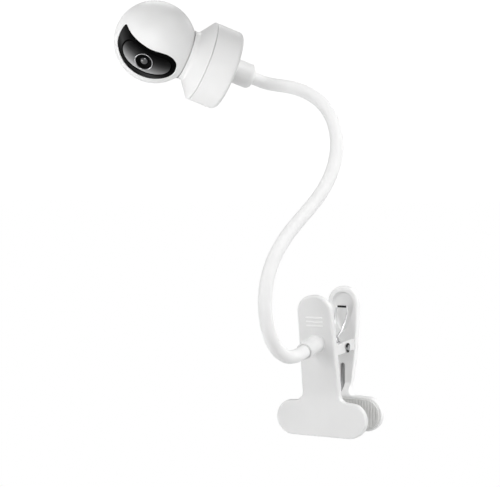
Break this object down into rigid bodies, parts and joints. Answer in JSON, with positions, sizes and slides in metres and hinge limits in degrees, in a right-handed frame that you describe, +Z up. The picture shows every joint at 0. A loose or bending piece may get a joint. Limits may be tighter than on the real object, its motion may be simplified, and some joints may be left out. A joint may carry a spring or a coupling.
{
  "type": "baby monitor camera",
  "caption": "Ball-shaped pan and tilt baby monitor camera on a bendable arm, with a sprung clamp that grips a crib rail.",
  "frame": {"origin": "centre of the front clamping pad's face", "axes": "+Y from the front pad into the clamped rail towards the back pad, +Z up, +X to the right along the rail"},
  "size_m": [0.2307, 0.1792, 0.4151],
  "materials": {
    "white_shell": "satin",
    "arm_sleeve": "smooth satin silicone",
    "clamp_pad": "matte, fine ribs",
    "steel": "plated",
    "arm_core": "wound",
    "dark_steel": "black oxide",
    "visor_black": "high gloss",
    "lens_ring": "dark satin chrome",
    "lens_glass": "coated",
    "black_plastic": "matte",
    "circuit_board": "solder mask",
    "infrared_led": "clear dark epoxy",
    "grey_strip": "satin grey",
    "gear_plastic": "natural acetal"
  },
  "bodies": {
    "clip_front": {"front_jaw": "white_shell", "front_pad": "clamp_pad", "clip_ferrule": "white_shell", "ferrule_screw": "steel", "hinge_pin": "steel", "pin_retaining_clip": "dark_steel", "jaw_spring": "dark_steel"},
    "clip_back": {"back_jaw": "white_shell", "back_pad": "clamp_pad", "slot_strip": "grey_strip"},
    "arm_1": {"arm_sleeve_1": "arm_sleeve", "arm_core_1": "arm_core"},
    "arm_2": {"arm_sleeve_2": "arm_sleeve", "arm_core_2": "arm_core"},
    "arm_3": {"arm_sleeve_3": "arm_sleeve", "arm_core_3": "arm_core"},
    "arm_4": {"arm_sleeve_4": "arm_sleeve", "arm_core_4": "arm_core"},
    "arm_5": {"arm_sleeve_5": "arm_sleeve", "arm_core_5": "arm_core"},
    "arm_6": {"arm_sleeve_6": "arm_sleeve", "arm_core_6": "arm_core"},
    "camera_base": {"base_housing": "white_shell", "base_top_plate": "white_shell", "usb_socket": "steel", "base_board": "circuit_board", "speaker": "black_plastic", "mount_stud": "steel", "arm_end_ferrule": "white_shell", "pan_motor": "steel"},
    "pan_pinion": {"pan_pinion": "gear_plastic"},
    "reset_button": {"reset_button": "white_shell"},
    "turret": {"collar": "white_shell", "yoke_post": "gear_plastic", "dust_dome": "gear_plastic", "pan_gear": "gear_plastic", "tilt_motor": "steel"},
    "head": {"head_front_shell": "white_shell", "head_rear_cover": "white_shell", "visor": "visor_black", "lens_bezel": "lens_ring", "lens_glass": "lens_glass", "lens_barrel": "black_plastic", "sensor_board": "circuit_board", "ir_led_left": "infrared_led", "ir_led_right": "infrared_led", "light_sensor": "circuit_board", "led_board": "circuit_board", "head_chassis": "gear_plastic", "main_board": "circuit_board", "microphone": "steel", "wifi_antenna": "steel", "tilt_shaft": "steel"}
  },
  "joints": [
    {"name": "jaw_open", "type": "hinge", "parent": "clip_front", "child": "clip_back", "pos_m": [0, 0.016, 0.0665], "axis": [1, 0, 0], "range_deg": [-19, 32], "stiffness_Nm_per_rad": 1.5, "deforming": ["jaw_spring"]},
    {"name": "arm_bend_1", "type": "hinge", "parent": "clip_front", "child": "arm_1", "pos_m": [-0.00001, -0.05009, 0.06888], "axis": [1, -0.0086, -0.0011], "range_deg": [-20, 20]},
    {"name": "arm_bend_2", "type": "hinge", "parent": "arm_1", "child": "arm_2", "pos_m": [-0.00369, -0.11171, 0.08676], "axis": [0, 0.8404, 0.542], "range_deg": [-20, 20]},
    {"name": "arm_bend_3", "type": "hinge", "parent": "arm_2", "child": "arm_3", "pos_m": [-0.00545, -0.10829, 0.1516], "axis": [0.5315, -0.7542, 0.3857], "range_deg": [-20, 20]},
    {"name": "arm_bend_4", "type": "hinge", "parent": "arm_3", "child": "arm_4", "pos_m": [0.01008, -0.06318, 0.20028], "axis": [0.6612, 0.3282, -0.6746], "range_deg": [-20, 20]},
    {"name": "arm_bend_5", "type": "hinge", "parent": "arm_4", "child": "arm_5", "pos_m": [0.02212, -0.02505, 0.25471], "axis": [0.4466, -0.8013, 0.3981], "range_deg": [-20, 20]},
    {"name": "arm_bend_6", "type": "hinge", "parent": "arm_5", "child": "arm_6", "pos_m": [-0.0109, -0.00292, 0.30745], "axis": [0.54, 0.268, 0.7979], "range_deg": [-20, 20]},
    {"name": "arm_bend_7", "type": "hinge", "parent": "arm_6", "child": "camera_base", "pos_m": [-0.07259, -0.00669, 0.32683], "axis": [0.6695, -0.7349, -0.1081], "range_deg": [-20, 20]},
    {"name": "pan", "type": "hinge", "parent": "camera_base", "child": "turret", "pos_m": [-0.14581, -0.07083, 0.35913], "axis": [-0.7023, -0.6223, 0.3457], "range_deg": [-170, 170]},
    {"name": "pan_pinion_spin", "type": "hinge", "parent": "camera_base", "child": "pan_pinion", "pos_m": [-0.09421, -0.0434, 0.35277], "axis": [-0.7023, -0.6223, 0.3457], "range_deg": [-520, 520]},
    {"name": "tilt", "type": "hinge", "parent": "turret", "child": "head", "pos_m": [-0.14581, -0.07083, 0.35913], "axis": [-0.6522, 0.3677, -0.6629], "range_deg": [-22, 42]},
    {"name": "reset_press", "type": "slide", "parent": "camera_base", "child": "reset_button", "axis": [0.4704, -0.0412, 0.8815], "range_m": [0, 0.001], "stiffness_N_per_m": 300}
  ],
  "couplings": [
    {"joint": "pan_pinion_spin", "follows": "pan", "ratio": -3}
  ]
}
